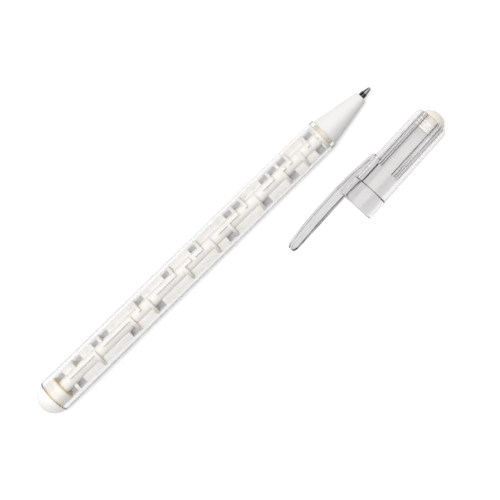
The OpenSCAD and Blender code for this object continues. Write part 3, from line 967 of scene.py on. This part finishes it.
class MAZEPEN_OT_inner_pieces(PieceOperator):
    """Finish the refill, its ink and the two balls"""
    bl_idname = "mazepen.inner_pieces"
    bl_label = "Refill and balls"

    def execute(self, context):
        finish = context.scene.maze_pen.finish
        nodes = frame["nodes"]
        refill = moulded("Refill plastic", finish.refill, finish.refill_deep, glow=0.4)
        clothe(nodes["refill_tube"], refill)
        ink = moulded("Ink", finish.ink, finish.ink_deep, roughness=(0.05, 0.15), glow=0.0)
        clothe(nodes["ink_column"], ink)
        for node, name in (("maze_ball", "Maze ball steel"), ("writing_ball", "Writing ball steel")):
            clothe(nodes[node], metal(name, finish.steel, finish.steel_deep, roughness=(0.06, 0.18)))
        return {"FINISHED"}


class MAZEPEN_OT_cap(PieceOperator):
    """Turn the clear cap and join its ribs and clip to it"""
    bl_idname = "mazepen.cap"
    bl_label = "Cap"
    arch_steps = 20

    def clip_stations(self, sizes):
        """Stations along the clip from its root to its round tip: place, thickness and width."""
        arch = arc_radius(sizes.free - sizes.crest, sizes.thick - sizes.tip_thick)
        tip_r = sizes.tip / 2
        turn_z = sizes.root - sizes.corner
        neck_z = tip_r - sizes.free

        def thickness(z):
            return sizes.thick - arch + math.sqrt(arch ** 2 - (z + sizes.crest) ** 2)

        quarter = [QUARTER * k / (2 * CORNER_STEPS) for k in range(2 * CORNER_STEPS + 1)]
        stations = []
        for a in quarter[:-1]:
            thick = thickness(turn_z) - sizes.corner * (1 - math.sin(a))
            stations.append((turn_z + sizes.corner * math.cos(a), thick, sizes.wide))
        for k in range(self.arch_steps):
            z = turn_z + (neck_z - turn_z) * k / self.arch_steps
            past_mouth = min(z, 0) / neck_z
            stations.append((z, thickness(z), sizes.wide + (sizes.tip - sizes.wide) * past_mouth))
        for a in quarter:
            z = neck_z - tip_r * math.sin(a)
            thick = thickness(z) * (1 - sizes.tip_thin * (1 - math.cos(a)))
            stations.append((z, thick, sizes.tip * math.cos(a)))
        return stations

    def clip(self, sizes):
        """The clip, lofted from its section, which is widest between its two faces."""
        stations = self.clip_stations(sizes)
        inner = sizes.inner
        side = [
            (inner, -sizes.foot / 2, sizes.foot_edge),
            (inner + sizes.waist, -sizes.wide / 2, sizes.waist_edge),
            (inner + sizes.thick, -sizes.top / 2, sizes.top_edge),
        ]
        section = softened(side + [(across, -along, radius) for across, along, radius in reversed(side)])
        piece = trace("clip", [Vector((p[0], p[1], stations[0][0])) for p in section])
        bpy.ops.mesh.select_all(action="SELECT")
        bpy.ops.mesh.edge_face_add()
        foot = (inner, 0, 0)
        _, thick, wide = stations[0]
        bpy.ops.transform.resize(value=(thick / sizes.thick, wide / sizes.wide, 1), center_override=foot)
        for (z, thick, wide), (next_z, next_thick, next_wide) in zip(stations, stations[1:]):
            push(next_z - z, (next_thick / thick, next_wide / wide), foot)
        close_up()
        piece.matrix_world = Matrix.Rotation(QUARTER - sizes.drop, 4, "Z")
        return piece

    def rib(self, sizes):
        """A rib that stands on the wall of the hollow and reaches into the closed end."""
        inside = sizes.rib_in
        outside = sizes.hollow_d / 2 + sizes.rib_sunk
        low = sizes.rib_start
        high = sizes.long - sizes.end_wall + sizes.rib_sunk
        piece = added(bpy.ops.mesh.primitive_cube_add, size=1,
                      scale=(outside - inside, sizes.rib, high - low),
                      location=((outside + inside) / 2, 0, (low + high) / 2))
        bpy.ops.object.transform_apply(location=True, rotation=True, scale=True)
        return piece

    def execute(self, context):
        pen = context.scene.maze_pen
        sizes = pen.cap
        edge = sizes.edge
        hole = sizes.stem_d / 2 + pen.ends.fit
        inside = sizes.long - sizes.end_wall
        piece = turned("clear_cap", ring([
            (sizes.socket_d / 2, 0, edge),
            (sizes.mouth_d / 2, 0, sizes.rim),
            (sizes.end_d / 2, sizes.long, sizes.end_round),
            (hole, sizes.long, edge / 2),
            (hole, sizes.long - sizes.stem, edge / 2),
            (sizes.boss_d / 2, sizes.long - sizes.stem, edge),
            (sizes.boss_d / 2, inside, edge),
            (sizes.hollow_d / 2, inside, edge),
            (sizes.hollow_d / 2, sizes.socket, edge),
            (sizes.socket_d / 2, sizes.socket, sizes.shoulder),
        ]))
        first = QUARTER - pen.clip.drop + sizes.rib_turn
        rib = self.rib(sizes)
        for i in range(sizes.ribs):
            tool = copied(rib)
            tool.matrix_world = Matrix.Rotation(first + 4 * QUARTER * i / sizes.ribs, 4, "Z")
            combine(piece, tool, "UNION")
        bpy.data.objects.remove(rib)
        combine(piece, self.clip(pen.clip), "UNION")
        lay(piece, cap_frame())
        outside = (sizes.socket_d + sizes.end_d) / 4
        # The cap's tint is darker than the barrel's: painted grey shade of its thick walls
        material = clear("Clear cap", pen.finish.cap, pen.finish.cap_through, pen.finish.clear_edge,
                         cap_frame(), outside, sizes.long - sizes.end_round, CAP_RIM)
        return self.hand_over(piece, "cap", "cap_shell", "clear_cap", material)


class MAZEPEN_OT_stopper(PieceOperator):
    """Turn the cream stopper with its grooved stem"""
    bl_idname = "mazepen.stopper"
    bl_label = "Stopper"

    def execute(self, context):
        pen = context.scene.maze_pen
        sizes = pen.cap
        rim = sizes.button_d / 2
        # The stem is pressed into the boss, so no air shows between them
        stem = sizes.stem_d / 2 + pen.ends.fit + WELD
        edge = pen.barrel.edge
        low = sizes.long - sizes.stem
        sphere = arc_radius(rim, sizes.button_h)
        top = sizes.long + sizes.button_h
        # A groove takes up a third of their spacing
        pitch = (sizes.stem - sizes.end_wall) / (sizes.grooves + 1)
        half = pitch / 6
        outline = [(0, low), (stem - edge, low), (stem, low + edge)]
        for i in range(sizes.grooves):
            middle = low + (i + 1) * pitch
            outline += [(stem, middle - half), (stem - sizes.groove_deep, middle), (stem, middle + half)]
        outline.append((stem, sizes.long))
        outline += bowl(sphere, top - sphere, math.asin(rim / sphere), 0)
        piece = turned("stopper", outline)
        lay(piece, cap_frame())
        material = moulded("Stopper plastic", pen.finish.cream, pen.finish.cream_deep,
                           roughness=(0.22, 0.38))
        pale = x_at(cap_frame(), top - sizes.pale)
        full = x_at(cap_frame(), top - sizes.full)
        toned_along(material, ((pale, pen.finish.stem, 1), (full, pen.finish.stem, 0)))
        return self.hand_over(piece, "cap", "cap_plug", "stopper_cream", material)


# Studio

def plain_material(name):
    """A material without a shader, and its tree."""
    material = bpy.data.materials.new(name)
    material.use_nodes = True
    tree = material.node_tree
    tree.nodes.clear()
    return material, tree


def floor_material(studio):
    """Pale floor that keeps the shadow and is lifted to white where it is seen."""
    material, tree = plain_material("Pale floor")
    matt = new_node(tree, "ShaderNodeBsdfDiffuse", {"Color": (*studio.floor, 1)}).outputs["BSDF"]
    straight = new_node(tree, "ShaderNodeLightPath").outputs["Is Camera Ray"]
    level = ranged(tree, straight, to_min=studio.floor_through, to_max=studio.floor_lift)
    lift = new_node(tree, "ShaderNodeEmission", {"Strength": level}).outputs["Emission"]
    both = new_node(tree, "ShaderNodeAddShader", {0: matt, 1: lift}).outputs["Shader"]
    new_node(tree, "ShaderNodeOutputMaterial", {"Surface": both})
    return material


def card_material(studio):
    """Dark card of one tone, whatever light falls on it."""
    material, tree = plain_material("Dark card")
    dark = new_node(tree, "ShaderNodeEmission", {"Color": (*studio.card, 1)}).outputs["Emission"]
    new_node(tree, "ShaderNodeOutputMaterial", {"Surface": dark})
    return material


class MAZEPEN_OT_stage(Operator):
    """Set up the pale floor, the soft light, the dark cards and the camera"""
    bl_idname = "mazepen.stage"
    bl_label = "Studio"
    bl_options = {"REGISTER", "UNDO"}

    def execute(self, context):
        scene = context.scene
        studio = scene.maze_pen.studio
        scene.view_settings.view_transform = "Standard"
        self.floor(studio)
        self.cards(studio)
        self.sky(scene, studio)
        self.key_lamp(studio)
        self.camera(scene, studio)
        return {"FINISHED"}

    def floor(self, studio):
        """A wide pale floor."""
        floor = added(bpy.ops.mesh.primitive_plane_add, size=FLOOR_WIDE)
        floor.name = "floor"
        clothe(floor, floor_material(studio))

    def cards(self, studio):
        """A ring of dark cards that only clear and glossy surfaces show."""
        tall = studio.card_high - studio.card_low
        cards = added(bpy.ops.mesh.primitive_cylinder_add, vertices=CARD_STEPS, radius=studio.card_ring,
                      depth=tall, end_fill_type="NOTHING", location=(0, 0, studio.card_low + tall / 2),
                      scale=(studio.card_stretch, 1, 1))
        cards.name = "edge_cards"
        clothe(cards, card_material(studio))
        for ray in ("camera", "diffuse", "shadow", "volume_scatter"):
            setattr(cards, "visible_" + ray, False)

    def sky(self, scene, studio):
        """Soft light from above and the pen's side, shown white."""
        world = bpy.data.worlds.new("Soft sky")
        world.use_nodes = True
        scene.world = world
        tree = world.node_tree
        facing = new_node(tree, "ShaderNodeTexCoord").outputs["Generated"]
        near = reckon_vector(tree, "DOT_PRODUCT", facing, Vector(studio.sky_place).normalized())
        focus = reckon(tree, "POWER", reckon(tree, "MAXIMUM", near, 0.0), studio.sky_focus)
        soft = reckon(tree, "MULTIPLY", focus, studio.sky_level)
        path = new_node(tree, "ShaderNodeLightPath").outputs
        seen = path["Is Camera Ray"]
        for ray in ("Is Glossy Ray", "Is Transmission Ray"):
            seen = reckon(tree, "MAXIMUM", seen, path[ray])
        level = ranged(tree, seen, to_min=soft, to_max=1.0)
        fill(tree.nodes["Background"], {"Color": (1, 1, 1, 1), "Strength": level})

    def key_lamp(self, studio):
        """One large soft lamp, high up on the pen's side."""
        lamp = added(bpy.ops.object.light_add, type="AREA", location=studio.key_place)
        lamp.name = "soft_lamp"
        lamp.data.size = studio.key_size
        lamp.data.energy = studio.key_power
        lamp.rotation_euler = (-Vector(studio.key_place)).to_track_quat("-Z", "Y").to_euler()
        lamp.visible_glossy = False
        lamp.visible_transmission = False

    def camera(self, scene, studio):
        """The camera above the pen, turned so that the pen lies across the picture."""
        camera = added(bpy.ops.object.camera_add, location=studio.camera)
        camera.name = "camera"
        camera.data.lens = studio.lens
        camera.data.clip_start = CAMERA_NEAR
        ahead = (Vector(studio.target) - Vector(studio.camera)).normalized()
        right = Vector((math.cos(studio.heading), math.sin(studio.heading), 0))
        right = (right - right.dot(ahead) * ahead).normalized()
        facing = Matrix((right, right.cross(ahead), -ahead)).transposed().to_4x4()
        camera.matrix_world = Matrix.Translation(studio.camera) @ facing
        scene.camera = camera


class MAZEPEN_PT_panel(Panel):
    """Lists the sizes, the finishes and the pieces"""
    bl_idname = "MAZEPEN_PT_panel"
    bl_label = "Maze pen"
    bl_space_type = "VIEW_3D"
    bl_region_type = "UI"
    bl_category = "Maze pen"

    def draw(self, context):
        pen = context.scene.maze_pen
        for operator in OPERATORS:
            self.layout.operator(operator.bl_idname)
        for part in pen.__annotations__:
            box = self.layout.box()
            box.label(text=part.capitalize())
            values = getattr(pen, part)
            for name in values.__annotations__:
                box.prop(values, name)


GROUPS = (BarrelSizes, MazeSizes, EndSizes, CapSizes, ClipSizes, Finishes, Studio, MazePen)
OPERATORS = (MAZEPEN_OT_stage, MAZEPEN_OT_barrel, MAZEPEN_OT_maze, MAZEPEN_OT_end_plug, MAZEPEN_OT_nose,
             MAZEPEN_OT_point, MAZEPEN_OT_inner_pieces, MAZEPEN_OT_cap, MAZEPEN_OT_stopper)
CLASSES = (*GROUPS, *OPERATORS, MAZEPEN_PT_panel)


def register():
    """Makes the settings, the operators and the panel known."""
    for made in CLASSES:
        bpy.utils.register_class(made)
    bpy.types.Scene.maze_pen = PointerProperty(name="Maze pen", description="The maze pen", type=MazePen)


def unregister():
    """Takes them away again."""
    del bpy.types.Scene.maze_pen
    for made in reversed(CLASSES):
        bpy.utils.unregister_class(made)


def main():
    """Builds the pen in its studio."""
    register()
    for operator in OPERATORS:
        family, name = operator.bl_idname.split(".")
        getattr(getattr(bpy.ops, family), name)()


if __name__ == "__main__":
    main()
